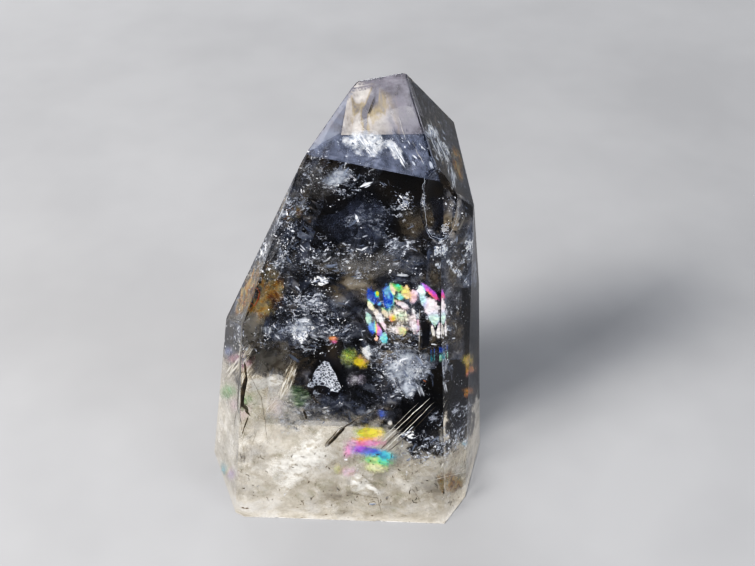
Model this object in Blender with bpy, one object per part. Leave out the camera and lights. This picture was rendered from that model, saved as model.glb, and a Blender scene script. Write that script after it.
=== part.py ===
"""A cut and polished quartz point that stands on its ground base.

One crystal, ground from one block: flat facets all round and on top, a shallow thumb-shaped hollow ground
across the front right edge under the tip, and two small chips in the base's front edge.
Blender 4.5, metres, +Z up. The front faces -Y. The origin is the middle of the base's box.
"""

import math

import bmesh
import bpy
from mathutils import Matrix, Vector

MM = 0.001

# The block that the point is ground from
BLOCK_SIZE = Vector((60.0, 50.0, 90.0)) * MM

# The cutting diagram. Each facet has the bearing that it faces, in degrees seen from above (0 is the front,
# 90 the right side), the lean of the facet back from upright, in degrees, and its distance in millimetres from
# the point where the block's axis meets the base.
SIDE_FACETS = {
    "front": (-2.5, 10.0, 15.3),
    "front right": (56.5, 7.5, 21.6),
    "right": (75.0, 4.0, 21.1),
    "upper right": (100.0, 7.5, 24.75),
    "back right": (117.0, 1.5, 20.4),
    "back": (177.0, 4.0, 15.8),
    "upper back left": (-117.0, 23.0, 26.25),
    "back left": (-117.0, 8.0, 19.7),
    "upper left": (-79.0, 21.5, 28.0),
    "left": (-69.5, 8.0, 21.5),
    "left corner": (-31.0, 9.5, 20.9),
}
TOP_FACETS = {
    "front slope": (5.0, 39.0, 42.5),
    "right slope": (82.0, 27.0, 38.9),
    "back slope": (165.0, 36.5, 45.8),
    "back left slope": (-165.0, 36.0, 42.0),
    "tip": (-5.0, 70.0, 64.2),
}

# How close to a facet's plane a corner counts as on it
ON_FACET = 0.0001 * MM

# The polished edges are a little rounded
EDGE_ROUND = 0.10 * MM
EDGE_STEPS = 2

# The thumb-shaped hollow: an egg of this size laid along the edge between the front and front right facets
HOLLOW_HALF_SIZE = Vector((4.9, 2.7, 6.0)) * MM
HOLLOW_CENTRE = Vector((14.2, -6.3, 55.2)) * MM
HOLLOW_BEARING = math.radians(37.0)
HOLLOW_LEAN = math.radians(-10.0)
HOLLOW_SEGMENTS = 48
HOLLOW_RINGS = 40

# The chips along the base's front edge: where they are from left to right and how wide, in millimetres, and
# the half size of a chip one millimetre wide
CHIPS = ((-10.6, 0.9), (5.6, 1.1))
CHIP_HALF_SIZE = Vector((0.5, 0.28, 0.24)) * MM
CHIP_SEGMENTS = 12
CHIP_RINGS = 8


def clear_scene():
    for item in list(bpy.data.objects):
        bpy.data.objects.remove(item, do_unlink=True)


def quartz_material():
    material = bpy.data.materials.new("clear quartz")
    material.use_nodes = True
    shader = material.node_tree.nodes["Principled BSDF"]
    shader.inputs["Base Color"].default_value = (0.86, 0.84, 0.80, 1.0)
    shader.inputs["Metallic"].default_value = 0.0
    shader.inputs["Roughness"].default_value = 0.04
    shader.inputs["IOR"].default_value = 1.544
    shader.inputs["Transmission Weight"].default_value = 1.0
    return material


def facet_normal(bearing, lean):
    bearing, lean = math.radians(bearing), math.radians(lean)
    level = math.cos(lean)
    return Vector((math.sin(bearing) * level, -math.cos(bearing) * level, math.sin(lean)))


def grind_facet(mesh, bearing, lean, distance):
    """Cuts away what lies beyond the facet, and closes the cut with the facet's flat face."""
    normal = facet_normal(bearing, lean)
    cut = bmesh.ops.bisect_plane(
        mesh,
        geom=mesh.verts[:] + mesh.edges[:] + mesh.faces[:],
        dist=ON_FACET,
        plane_co=normal * distance * MM,
        plane_no=normal,
        clear_outer=True,
    )
    rim = [item for item in cut["geom_cut"] if isinstance(item, bmesh.types.BMEdge)]
    bmesh.ops.holes_fill(mesh, edges=rim)


def stand_on_middle_of_base(mesh):
    low = Vector(min(vert.co[axis] for vert in mesh.verts) for axis in range(3))
    high = Vector(max(vert.co[axis] for vert in mesh.verts) for axis in range(3))
    middle = (low + high) / 2
    bmesh.ops.translate(mesh, verts=mesh.verts, vec=Vector((-middle.x, -middle.y, -low.z)))
    return middle


def ground_point():
    """The crystal with all its flat facets, and how far the block's axis was from the middle of the base."""
    mesh = bmesh.new()
    bmesh.ops.create_cube(mesh, size=1.0)
    bmesh.ops.scale(mesh, verts=mesh.verts, vec=BLOCK_SIZE)
    bmesh.ops.translate(mesh, verts=mesh.verts, vec=Vector((0.0, 0.0, BLOCK_SIZE.z / 2)))
    for facet in (*SIDE_FACETS.values(), *TOP_FACETS.values()):
        grind_facet(mesh, *facet)
    middle = stand_on_middle_of_base(mesh)
    bmesh.ops.bevel(
        mesh,
        geom=mesh.edges[:],
        offset=EDGE_ROUND,
        segments=EDGE_STEPS,
        profile=0.5,
        affect="EDGES",
        clamp_overlap=True,
    )
    bmesh.ops.recalc_face_normals(mesh, faces=mesh.faces)
    return mesh, middle


def new_object(name, mesh):
    data = bpy.data.meshes.new(name)
    mesh.to_mesh(data)
    mesh.free()
    item = bpy.data.objects.new(name, data)
    bpy.context.collection.objects.link(item)
    return item


def add_cutter_ball(mesh, centre, half_size, turn, segments, rings):
    ball = bmesh.ops.create_uvsphere(mesh, u_segments=segments, v_segments=rings, radius=1.0)
    stretch = Matrix.Diagonal((*half_size, 1.0))
    bmesh.ops.transform(mesh, matrix=Matrix.Translation(centre) @ turn @ stretch, verts=ball["verts"])


def hollow_and_chip_cutter(middle):
    """The tool that hollows the front right edge and chips the base, as one guide object."""
    shift = Vector((-middle.x, -middle.y, 0.0))
    mesh = bmesh.new()
    turn = Matrix.Rotation(HOLLOW_BEARING, 4, "Z") @ Matrix.Rotation(HOLLOW_LEAN, 4, "X")
    add_cutter_ball(mesh, HOLLOW_CENTRE + shift, HOLLOW_HALF_SIZE, turn, HOLLOW_SEGMENTS, HOLLOW_RINGS)
    bearing, lean, distance = SIDE_FACETS["front"]
    across = Vector((math.cos(math.radians(bearing)), math.sin(math.radians(bearing)), 0.0))
    foot = facet_normal(bearing, 0.0) * distance * MM / math.cos(math.radians(lean))
    for along, width in CHIPS:
        centre = foot + across * along * MM + shift
        add_cutter_ball(mesh, centre, CHIP_HALF_SIZE * width, Matrix.Identity(4), CHIP_SEGMENTS, CHIP_RINGS)
    cutter = new_object("hollow and chip cutter", mesh)
    cutter.hide_render = True
    cutter.display_type = "WIRE"
    return cutter


def quartz_crystal():
    mesh, middle = ground_point()
    crystal = new_object("quartz_crystal", mesh)
    crystal.data.materials.append(quartz_material())
    cut = crystal.modifiers.new("hollow and chips", "BOOLEAN")
    cut.operation = "DIFFERENCE"
    cut.solver = "EXACT"
    cut.object = hollow_and_chip_cutter(middle)
    return crystal


clear_scene()
quartz_crystal()
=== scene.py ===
import math

import bmesh
import bpy
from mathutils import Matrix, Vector
from mathutils.bvhtree import BVHTree
from mathutils.noise import noise as mathutils_noise
from random import Random as random_numbers


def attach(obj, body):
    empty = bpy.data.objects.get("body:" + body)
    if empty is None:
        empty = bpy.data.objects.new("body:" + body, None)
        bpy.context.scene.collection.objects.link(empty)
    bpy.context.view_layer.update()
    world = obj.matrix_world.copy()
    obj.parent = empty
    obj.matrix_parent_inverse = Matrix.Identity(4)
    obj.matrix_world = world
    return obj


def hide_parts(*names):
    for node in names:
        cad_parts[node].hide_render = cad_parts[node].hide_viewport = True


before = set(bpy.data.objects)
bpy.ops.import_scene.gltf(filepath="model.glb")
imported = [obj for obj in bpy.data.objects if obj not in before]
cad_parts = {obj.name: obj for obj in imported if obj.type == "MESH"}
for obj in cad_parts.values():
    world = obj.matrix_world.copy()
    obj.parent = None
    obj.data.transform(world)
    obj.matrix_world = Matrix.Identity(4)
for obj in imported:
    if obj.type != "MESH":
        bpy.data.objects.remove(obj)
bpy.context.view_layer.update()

scene = bpy.context.scene
MM = 0.001

# The camera.
# It looks down on the crystal from in front, 40 degrees below the horizon, from about 20 cm away.
CAMERA_PLACE = Vector((0.00507, -0.1292, 0.1446))
CAMERA_DOWN = math.radians(40.0)
FOCAL_PIXELS = 1130.0
PICTURE_WIDE = 755.0
PICTURE_HIGH = 566.0
SENSOR_WIDTH = 36.0

camera = bpy.data.objects.new("camera", bpy.data.cameras.new("camera"))
camera.data.sensor_width = SENSOR_WIDTH
camera.data.lens = FOCAL_PIXELS * SENSOR_WIDTH / PICTURE_WIDE
camera.data.clip_start = 0.01
camera.data.clip_end = 20.0
camera.location = CAMERA_PLACE
camera.rotation_euler = (math.pi / 2 - CAMERA_DOWN, 0.0, 0.0)
scene.collection.objects.link(camera)
scene.camera = camera

# The studio floor.
# One broad sheet of matt pale card, a little uneven in tone, and paler further out as painted light for lamp
# light that falls off there.
FLOOR_REACH = 6.0
FLOOR_DROP = 0.00005
CARD_PALE = (0.35, 0.35, 0.36, 1.0)
CARD_DARKER = (0.32, 0.32, 0.33, 1.0)
CARD_ROUGH = 0.9
CARD_SHINE = 0.2
CARD_FAR_PAINTED_LIGHT = (0.85, 0.85, 0.86, 1.0)
CARD_NEAR_REACH = 0.14
CARD_FAR_REACH = 0.70


def add_node(material, kind, sockets=None, **settings):
    """Adds a node, with its settings and sockets. A socket takes a plain value or another node's output."""
    added = material.node_tree.nodes.new(kind)
    for name, value in settings.items():
        setattr(added, name, value)
    for name, value in (sockets or {}).items():
        plug(material, added.inputs[name], value)
    return added


def plug(material, socket, value):
    if isinstance(value, bpy.types.NodeSocket):
        material.node_tree.links.new(value, socket)
    else:
        socket.default_value = value


def new_material(name):
    material = bpy.data.materials.new(name)
    material.use_nodes = True
    material.node_tree.nodes.clear()
    return material


def finish_material(material, surface, volume=None):
    output = add_node(material, "ShaderNodeOutputMaterial", {"Surface": surface})
    if volume is not None:
        plug(material, output.inputs["Volume"], volume)


def noise(material, per_mm, detail=3.0, rough=0.55, stretch=(1.0, 1.0, 1.0), warp=0.0):
    """Noise in the piece's own space, with a given number of lumps to a millimetre."""
    place = add_node(material, "ShaderNodeTexCoord").outputs["Object"]
    mapping = add_node(material, "ShaderNodeMapping", {"Vector": place, "Scale": stretch})
    texture = add_node(
        material,
        "ShaderNodeTexNoise",
        {
            "Vector": mapping.outputs[0], "Scale": per_mm / MM, "Detail": detail, "Roughness": rough,
            "Distortion": warp
        },
    )
    return texture.outputs["Fac"]


def ramp(material, factor, stops, blend="LINEAR"):
    """A colour ramp with the given (place, colour) stops. A plain number stands for a grey."""
    added = add_node(material, "ShaderNodeValToRGB", {"Fac": factor})
    added.color_ramp.interpolation = blend
    points = added.color_ramp.elements
    while len(points) < len(stops):
        points.new(1.0)
    for point, (place, colour) in zip(points, stops):
        point.position = place
        point.color = colour if isinstance(colour, tuple) else (colour, colour, colour, 1.0)
    return added.outputs["Color"]


def new_piece(name, data, material):
    piece = bpy.data.objects.new(name, data)
    piece.data.materials.append(material)
    scene.collection.objects.link(piece)
    return piece


def card():
    material = new_material("pale card")
    tone = ramp(material, noise(material, 0.03), [(0.35, CARD_DARKER), (0.65, CARD_PALE)])
    place = add_node(material, "ShaderNodeTexCoord").outputs["Object"]
    reach = add_node(material, "ShaderNodeVectorMath", {0: place}, operation="LENGTH").outputs["Value"]
    sockets = {"Value": reach, "From Min": CARD_NEAR_REACH, "From Max": CARD_FAR_REACH}
    far = add_node(material, "ShaderNodeMapRange", sockets).outputs["Result"]
    # Painted light: the card turns paler away from the crystal.
    tone = add_node(material, "ShaderNodeMix", {0: far, 6: tone, 7: CARD_FAR_PAINTED_LIGHT}, data_type="RGBA").outputs[2]
    shader = add_node(material, "ShaderNodeBsdfPrincipled", {"Base Color": tone, "Roughness": CARD_ROUGH})
    shader.inputs["Specular IOR Level"].default_value = CARD_SHINE
    finish_material(material, shader.outputs[0])
    return material


floor_mesh = bpy.data.meshes.new("floor")
floor_mesh.from_pydata(
    [(x * FLOOR_REACH, y * FLOOR_REACH, -FLOOR_DROP) for x, y in ((-1, -1), (1, -1), (1, 1), (-1, 1))],
    [],
    [(0, 1, 2, 3)],
)
floor = new_piece("floor", floor_mesh, card())

# The studio lights.
# One low soft box at the left in front, a smaller one at the right, one behind, and a dim grey room.
LIGHTS = {
    "key soft box": {"place": (-0.31, -0.20, 0.34), "size": 0.15, "watts": 4.6, "tint": (1.0, 0.98, 0.95)},
    "side soft box": {"place": (0.30, -0.16, 0.22), "size": 0.14, "watts": 0.9, "tint": (0.93, 0.96, 1.0)},
    "back soft box": {"place": (-0.06, 0.34, 0.30), "size": 0.20, "watts": 0.9, "tint": (0.95, 0.97, 1.0)},
}
ROOM_GREY = (0.55, 0.58, 0.63, 1.0)
ROOM_STRENGTH = 0.18
AIM = Vector((0.0, 0.0, 0.03))
DARKER_DARKS = ((0.05, 0.018), (0.12, 0.075), (0.25, 0.21), (0.45, 0.45))

for light_name, light in LIGHTS.items():
    lamp = bpy.data.lights.new(light_name, "AREA")
    lamp.size = light["size"]
    lamp.energy = light["watts"]
    lamp.color = light["tint"]
    holder = bpy.data.objects.new(light_name, lamp)
    holder.location = light["place"]
    holder.rotation_euler = (AIM - holder.location).to_track_quat("-Z", "Y").to_euler()
    scene.collection.objects.link(holder)

room = bpy.data.worlds.new("studio room")
room.use_nodes = True
room.node_tree.nodes["Background"].inputs["Color"].default_value = ROOM_GREY
room.node_tree.nodes["Background"].inputs["Strength"].default_value = ROOM_STRENGTH
scene.world = room

scene.view_settings.view_transform = "Standard"
scene.view_settings.look = "None"
scene.view_settings.use_curve_mapping = True
tone_curve = scene.view_settings.curve_mapping
for tone_in, tone_out in DARKER_DARKS:
    tone_curve.curves[3].points.new(tone_in, tone_out)
tone_curve.update()
scene.cycles.use_denoising = True
scene.cycles.max_bounces = 20
scene.cycles.transmission_bounces = 16
scene.cycles.transparent_max_bounces = 48
scene.cycles.glossy_bounces = 8
scene.cycles.diffuse_bounces = 3
scene.cycles.caustics_reflective = False
scene.cycles.caustics_refractive = False
scene.cycles.sample_clamp_indirect = 4.0

# The quartz crystal.
# One natural crystal, ground flat all round and polished to clear faces, with a hollow ground under its
# tip. The base it stands on is ground but left matt, and dusted with cream and brown specks.
QUARTZ_IOR = 1.544
QUARTZ_TINT = (0.985, 0.985, 0.98, 1.0)
MIRROR_TINT = (0.25, 0.26, 0.28, 1.0)
SMOKE_TINT = (0.62, 0.60, 0.56, 1.0)
SMOKE_DENSITY = 9.0
LAMP_TINT = (0.93, 0.93, 0.93, 1.0)
FACES_DOWN = -0.98
EDGE_WHITE = (0.85, 0.83, 0.80, 1.0)
RIM_HIGH = 0.3 * MM
SHARP_OVER = math.radians(20.0)
GROUND_CREAM = (0.57, 0.525, 0.455, 1.0)
GROUND_WHITE = (0.66, 0.63, 0.59, 1.0)
GROUND_TAN = (0.36, 0.32, 0.26, 1.0)
GROUND_LEFT_DARK = 0.72
GROUND_LEFT = (-19.0 * MM, -9.0 * MM)
SPECK_BROWN = (0.10, 0.07, 0.045, 1.0)


def polished_quartz():
    material = new_material("polished clear quartz")
    shader = add_node(
        material,
        "ShaderNodeBsdfPrincipled",
        {
            "Base Color": QUARTZ_TINT,
            "Roughness": 0.0,
            "IOR": QUARTZ_IOR,
            "Transmission Weight": 1.0,
            "Specular Tint": MIRROR_TINT,
        },
    )
    ray = add_node(material, "ShaderNodeLightPath")
    lets_lamps_in = add_node(material, "ShaderNodeBsdfTransparent", {"Color": LAMP_TINT})
    for_lamps = add_node(
        material,
        "ShaderNodeMixShader",
        {0: ray.outputs["Is Shadow Ray"], 1: shader.outputs[0], 2: lets_lamps_in.outputs[0]},
    )
    mix = add_node(
        material,
        "ShaderNodeMixShader",
        {0: ray.outputs["Is Diffuse Ray"], 1: for_lamps.outputs[0], 2: lets_lamps_in.outputs[0]},
    )
    smoke = add_node(material, "ShaderNodeVolumeAbsorption", {"Color": SMOKE_TINT, "Density": SMOKE_DENSITY})
    finish_material(material, mix.outputs[0], smoke.outputs[0])
    return material


def ground_quartz():
    material = new_material("ground quartz base")
    mottle = noise(material, 0.22, 7.0, 0.68, warp=0.5)
    broad = ramp(material, mottle, [(0.34, GROUND_TAN), (0.50, GROUND_CREAM), (0.64, GROUND_WHITE)])
    grain = ramp(material, noise(material, 2.2, 5.0, 0.7), [(0.30, 0.72), (0.60, 1.0)])
    place = add_node(material, "ShaderNodeTexCoord").outputs["Object"]
    across = add_node(material, "ShaderNodeSeparateXYZ", {"Vector": place}).outputs[0]
    sockets = {
        "Value": across, "From Min": GROUND_LEFT[0], "From Max": GROUND_LEFT[1], "To Min": GROUND_LEFT_DARK
    }
    lean = add_node(material, "ShaderNodeMapRange", sockets).outputs["Result"]
    broad = add_node(
        material, "ShaderNodeVectorMath", {0: broad, "Scale": lean}, operation="SCALE"
    ).outputs[0]
    toned = add_node(
        material, "ShaderNodeMix", {0: 1.0, 6: broad, 7: grain}, data_type="RGBA", blend_type="MULTIPLY"
    )
    specks = ramp(material, noise(material, 1.1, 2.0, 0.4), [(0.27, 1.0), (0.31, 0.0)])
    dusted = add_node(
        material, "ShaderNodeMix", {0: specks, 6: toned.outputs[2], 7: SPECK_BROWN}, data_type="RGBA"
    )
    bump = add_node(
        material,
        "ShaderNodeBump",
        {"Height": noise(material, 3.0, 4.0, 0.7), "Strength": 0.4, "Distance": 0.1 * MM},
    )
    shader = add_node(
        material,
        "ShaderNodeBsdfPrincipled",
        {"Base Color": dusted.outputs[2], "Roughness": 0.6, "Normal": bump.outputs[0]},
    )
    finish_material(material, shader.outputs[0])
    return material


def frosted_edge():
    """The rounded rim of the base, rubbed a little white and still part clear."""
    material = new_material("frosted edge")
    shader = add_node(
        material,
        "ShaderNodeBsdfPrincipled",
        {
            "Base Color": EDGE_WHITE,
            "Roughness": 0.5,
            "IOR": QUARTZ_IOR,
            "Alpha": ramp(material, noise(material, 0.8, 5.0, 0.7), [(0.40, 0.25), (0.55, 0.95)]),
        },
    )
    finish_material(material, shader.outputs[0])
    return material


crystal_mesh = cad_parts["quartz_crystal"].data.copy()
crystal_mesh.name = "crystal"
crystal_mesh.materials.clear()
crystal = new_piece("crystal", crystal_mesh, polished_quartz())
crystal_mesh.materials.append(ground_quartz())
crystal_mesh.materials.append(frosted_edge())
for face in crystal_mesh.polygons:
    highest = max(crystal_mesh.vertices[corner].co.z for corner in face.vertices)
    if face.normal.z < FACES_DOWN:
        face.material_index = 1
    elif highest < RIM_HIGH:
        face.material_index = 2
crystal_mesh.shade_smooth()
crystal_mesh.set_sharp_from_angle(angle=SHARP_OVER)
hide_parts("quartz_crystal")
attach(crystal, "root")

# The painted dark backing.
# Ragged brown-black sheets that cross the middle of the crystal and make it look dark: painted shade,
# standing in for a dark backdrop seen through the clear quartz.
# The great one stands across the whole crystal. The others are placed by where they are seen from in front.
PAINTED_DARK_SEED = 3
PAINTED_DARK_BLACK = (0.012, 0.013, 0.019, 1.0)
PAINTED_DARK_BROWN = (0.045, 0.036, 0.026, 1.0)
CURTAIN_ROWS = 48
CURTAIN_COLUMNS = 36
CURTAIN_BACK = 4.0 * MM
CURTAIN_LEAN = -0.10
CURTAIN_SWELL = 2.2 * MM
CURTAIN_TOP = 61.0 * MM
CURTAIN_FOOT_LEFT = 20.0 * MM
CURTAIN_FOOT_RIGHT = 4.0 * MM
CURTAIN_INSET = 0.6 * MM
CURTAIN_MIDDLE = 30.0 * MM
CURTAIN_FOOT_TURN = 1.8
CURTAIN_SWELL_ACROSS = 3.1
CURTAIN_SWELL_UP = 4.2
# A sheet has its four corners, in pixels, and how deep it is, as a share of the way through the quartz.
PAINTED_DARK_SHEETS = {
    "right": ((443, 186), (475, 206), (478, 345), (443, 345), 0.50),
    "lower right": ((443, 330), (478, 330), (475, 440), (444, 462), 0.50),
    "low middle": ((398, 396), (446, 396), (446, 452), (404, 456), 0.45),
    "left of the rods": ((292, 345), (345, 340), (352, 405), (300, 412), 0.45),
    "round the sponge": ((317, 334), (345, 334), (354, 402), (299, 402), 0.24),
    "beside the slot": ((420, 312), (430, 324), (431, 346), (420, 356), 0.08),
}
SHEET_STEPS = 26
SMALLEST_SHARE = 0.02
LARGEST_SHARE = 0.97
SHALLOWEST = 0.3 * MM
JUST_INSIDE = 0.05 * MM
RUMPLE_PER_PIXEL = 0.045
PIXELS_PER_MM = 7.0
SHEET_LAYERS = ("fade", "along", "beside", "part_across", "part_down", "shade")
surface = BVHTree.FromPolygons(
    [vertex.co for vertex in crystal_mesh.vertices], [face.vertices for face in crystal_mesh.polygons]
)


def sight_line(across, down):
    """Which way the camera looks through a pixel of the picture."""
    right = (across - PICTURE_WIDE / 2) / FOCAL_PIXELS
    up = (PICTURE_HIGH / 2 - down) / FOCAL_PIXELS
    level, drop = math.cos(CAMERA_DOWN), math.sin(CAMERA_DOWN)
    return Vector((right, level + up * drop, up * level - drop)).normalized()


def inside(across, down, share):
    """The point seen at a pixel, some share of the way through the quartz, and the way there.
    The way is bent as the polished face bends it."""
    way = sight_line(across, down)
    hit, normal, face, distance = surface.ray_cast(CAMERA_PLACE, way)
    if hit is None:
        return None
    cosine = -way.dot(normal)
    squeeze = 1.0 / QUARTZ_IOR
    bent = way * squeeze + normal * (squeeze * cosine - math.sqrt(1.0 - squeeze**2 * (1.0 - cosine**2)))
    through = surface.ray_cast(hit + bent * JUST_INSIDE, bent)
    if through[0] is None:
        return None
    depth = max(through[3] * max(share, SMALLEST_SHARE), SHALLOWEST)
    return hit + bent * min(depth, through[3] * LARGEST_SHARE), bent


def sheet(placed, rumple=0.03, rounded=False, steps=SHEET_STEPS, seed=0.0, shade=0.5):
    """A thin sheet inside the quartz, seen between four pixels, a share of the way through.
    Each point knows how near it is to the rim, and where it is along the sheet and beside its edge."""
    *corners, share = placed
    made = bmesh.new()
    layers = {name: made.verts.layers.float.new(name) for name in SHEET_LAYERS}
    top_left, top_right, bottom_right, bottom_left = (Vector(corner) for corner in corners)
    long = ((bottom_left + bottom_right) - (top_left + top_right)).length / 2 / PIXELS_PER_MM
    wide = ((top_right + bottom_right) - (top_left + bottom_left)).length / 2 / PIXELS_PER_MM
    grid = {}
    for row in range(steps + 1):
        for column in range(steps + 1):
            s, t = column / steps, row / steps
            across, down = top_left.lerp(top_right, s).lerp(bottom_left.lerp(bottom_right, s), t)
            swell = mathutils_noise(Vector((across * RUMPLE_PER_PIXEL, down * RUMPLE_PER_PIXEL, seed)))
            found = inside(across, down, share + rumple * swell)
            if found is None:
                continue
            vertex = made.verts.new(found[0])
            from_middle = (abs(2 * s - 1), abs(2 * t - 1))
            rim = math.hypot(*from_middle) if rounded else max(from_middle)
            for name, value in zip(SHEET_LAYERS, (rim, t * long, s * wide, s, t, shade)):
                vertex[layers[name]] = value
            grid[row, column] = vertex
    longest = (max(long, wide) / steps * 3.0 + 0.25) * MM
    for row in range(steps):
        for column in range(steps):
            add_quad(made, grid, row, column, longest)
    loose = [vertex for vertex in made.verts if not vertex.link_faces]
    bmesh.ops.delete(made, geom=loose, context="VERTS")
    return made


def add_quad(made, grid, row, column, longest):
    """One small face of a sheet, left out where the view jumps from one facet to the next."""
    around = [
        grid.get(place)
        for place in ((row, column), (row, column + 1), (row + 1, column + 1), (row + 1, column))
    ]
    if None in around:
        return
    if max((one.co - other.co).length for one, other in zip(around, around[1:] + around[:1])) < longest:
        made.faces.new(around)


def standing_sheet(back, foot_left, foot_right, seed):
    """A sheet that stands from side to side across the crystal, and whose foot slopes to the right."""
    made = bmesh.new()
    layers = {name: made.verts.layers.float.new(name) for name in ("fade", "along", "beside", "shade")}
    grid = {}
    for row in range(CURTAIN_ROWS + 1):
        for column in range(CURTAIN_COLUMNS + 1):
            s, t = column / CURTAIN_COLUMNS, row / CURTAIN_ROWS
            foot = foot_left + (foot_right - foot_left) * min(s * CURTAIN_FOOT_TURN, 1.0)
            height = foot + (CURTAIN_TOP - foot) * t
            swell = mathutils_noise(Vector((s * CURTAIN_SWELL_ACROSS, t * CURTAIN_SWELL_UP, seed)))
            rear = surface.ray_cast(Vector((0.0, 0.0, height)), Vector((0.0, 1.0, 0.0)))[0]
            depth = min(
                back + CURTAIN_LEAN * (height - CURTAIN_MIDDLE) + CURTAIN_SWELL * swell,
                rear.y - CURTAIN_INSET
            )
            middle = Vector((0.0, depth, height))
            left = surface.ray_cast(middle, Vector((-1.0, 0.0, 0.0)))[0]
            right = surface.ray_cast(middle, Vector((1.0, 0.0, 0.0)))[0]
            across = (left.x + CURTAIN_INSET) * (1 - s) + (right.x - CURTAIN_INSET) * s
            vertex = made.verts.new((across, depth, height))
            for name, value in zip(layers, (max(1 - t * 6, 0.0, t * 6 - 5), height / MM, across / MM, 0.5)):
                vertex[layers[name]] = value
            grid[row, column] = vertex
    for row in range(CURTAIN_ROWS):
        for column in range(CURTAIN_COLUMNS):
            add_quad(made, grid, row, column, CURTAIN_TOP)
    return made


def joined(name, parts):
    """One mesh of several bmesh parts, shaded smooth."""
    data = bpy.data.meshes.new(name)
    whole = bmesh.new()
    for part in parts:
        part.to_mesh(data)
        whole.from_mesh(data)
        part.free()
    whole.to_mesh(data)
    whole.free()
    data.shade_smooth()
    return data


def maths(material, kind, first, second=0.0, third=0.0):
    return add_node(material, "ShaderNodeMath", {0: first, 1: second, 2: third}, operation=kind).outputs[0]


def ranged(material, value, low, high, to_low=0.0, to_high=1.0):
    """Stretches a value from one range to another, and stops at its ends."""
    sockets = {"Value": value, "From Min": low, "From Max": high, "To Min": to_low, "To Max": to_high}
    return add_node(material, "ShaderNodeMapRange", sockets).outputs["Result"]


def known(material, name):
    """What a mesh's points know, such as how near they are to the rim."""
    return add_node(material, "ShaderNodeAttribute", attribute_name=name).outputs["Fac"]


def mixed(material, share, first, second):
    return add_node(material, "ShaderNodeMix", {0: share, 6: first, 7: second}, data_type="RGBA").outputs[2]


def ragged(material, grain, low, high, rim=0.5, most=1.0):
    """How much a sheet covers: its grain, thinning out in tatters towards the rim."""
    lost = maths(material, "MULTIPLY", maths(material, "POWER", known(material, "fade"), 3.0), rim)
    return ranged(material, maths(material, "SUBTRACT", grain, lost), low, high, 0.0, most)


def inner_shader(material, colour, cover, rough=0.5, shine=0.3):
    shader = add_node(
        material,
        "ShaderNodeBsdfPrincipled",
        {"Base Color": colour, "Alpha": cover, "Roughness": rough, "Specular IOR Level": shine},
    )
    finish_material(material, shader.outputs[0])
    return material


def add_inner(name, data, material):
    """An inner piece of the crystal, which goes where the crystal goes."""
    piece = new_piece(name, data, material)
    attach(piece, "root")
    return piece


def sheets(placed_sheets, **options):
    return [
        sheet(placed, seed=20.0 + index, **options) for index, placed in enumerate(placed_sheets.values())
    ]


def add_sheets(name, placed_sheets, material, **options):
    return add_inner(name, joined(name, sheets(placed_sheets, **options)), material)


# A material of painted shade, brown-black and ragged.
def painted_dark(name, rim):
    material = new_material(name)
    colour = ramp(material, noise(material, 0.12, 3.0), [(0.40, PAINTED_DARK_BLACK), (0.66, PAINTED_DARK_BROWN)])
    cover = ragged(material, noise(material, 0.30, 6.0, 0.62), 0.22, 0.36, rim=rim, most=0.97)
    return inner_shader(material, colour, cover, rough=0.7, shine=0.0)


# Painted shade: the dark curtain and sheets, joined as smoke.
curtain = standing_sheet(CURTAIN_BACK, CURTAIN_FOOT_LEFT, CURTAIN_FOOT_RIGHT, PAINTED_DARK_SEED)
smoke = joined("painted_dark", [*sheets(PAINTED_DARK_SHEETS, rumple=0.10), curtain])
add_inner("painted_dark", smoke, painted_dark("painted dark backing", 0.40))
# A dark sheet just under the right slope: painted shade, standing in for dark surroundings mirrored in the
# slope.
PAINTED_DARK_SLOPE = {"right slope": ((406, 71), (457, 117), (480, 207), (441, 183), 0.055)}
SLOPE_STEPS = 50
add_sheets("painted_dark_slope", PAINTED_DARK_SLOPE, painted_dark("painted dark slope", 0.0), rumple=0.01, steps=SLOPE_STEPS)

# The cap, with its painted reflection.
# A thin cream and pinkish sheet just under the front slope of the tip, a painted reflection of the cream
# base mirrored in the tip, with a bluish bloom below it and beside it. A bright cloud of bubbles hangs
# across the foot of the cream.
# The cream, white, yellow and pink of the cap are painted reflection of the cream base.
CAP_REFLECTED_CREAM = (0.46, 0.42, 0.40, 1.0)
CAP_REFLECTED_WHITE = (0.68, 0.65, 0.63, 1.0)
CAP_REFLECTED_PINK = (0.20, 0.19, 0.22, 1.0)
CAP_GREY = (0.225, 0.22, 0.25, 1.0)
CAP_REFLECTED_YELLOW = (0.36, 0.30, 0.21, 1.0)
CAP_BLUE = (0.095, 0.11, 0.155, 1.0)
CAP_PALE_BLUE = (0.18, 0.20, 0.27, 1.0)
CAP_WEDGE = (0.26, 0.28, 0.35, 1.0)
CLOUD_BLUE = (0.36, 0.41, 0.52, 1.0)
CLOUD_WHITE = (0.88, 0.90, 0.94, 1.0)
CAP_UPPER = ((351, 79), (410, 79), (430, 134), (341, 135), 0.05)
CAP_LOWER = ((340, 133), (428, 131), (442, 182), (303, 154), 0.06)
CAP_LEFT = ((351, 85), (357, 87), (343, 135), (303, 154), 0.07)
CAP_TIP = ((352, 78), (410, 72), (411, 84), (351, 92), 0.06)
CAP_CLOUDS = {
    "middle": ((342, 131), (386, 130), (398, 160), (342, 154), 0.025),
    "right": ((384, 137), (396, 138), (404, 164), (392, 160), 0.025),
}
CAP_STEPS = 60


def bloom(name, colour_stops, low, high, most, per_mm=0.35, stretch=(1.0, 1.0, 1.0), rim=0.05):
    material = new_material(name)
    colour = ramp(material, noise(material, per_mm, 6.0, 0.6, stretch, warp=0.5), colour_stops)
    cover = ragged(material, noise(material, 0.6, 6.0, 0.65), low, high, rim=rim, most=most)
    return inner_shader(material, colour, cover, rough=0.45)


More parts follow.
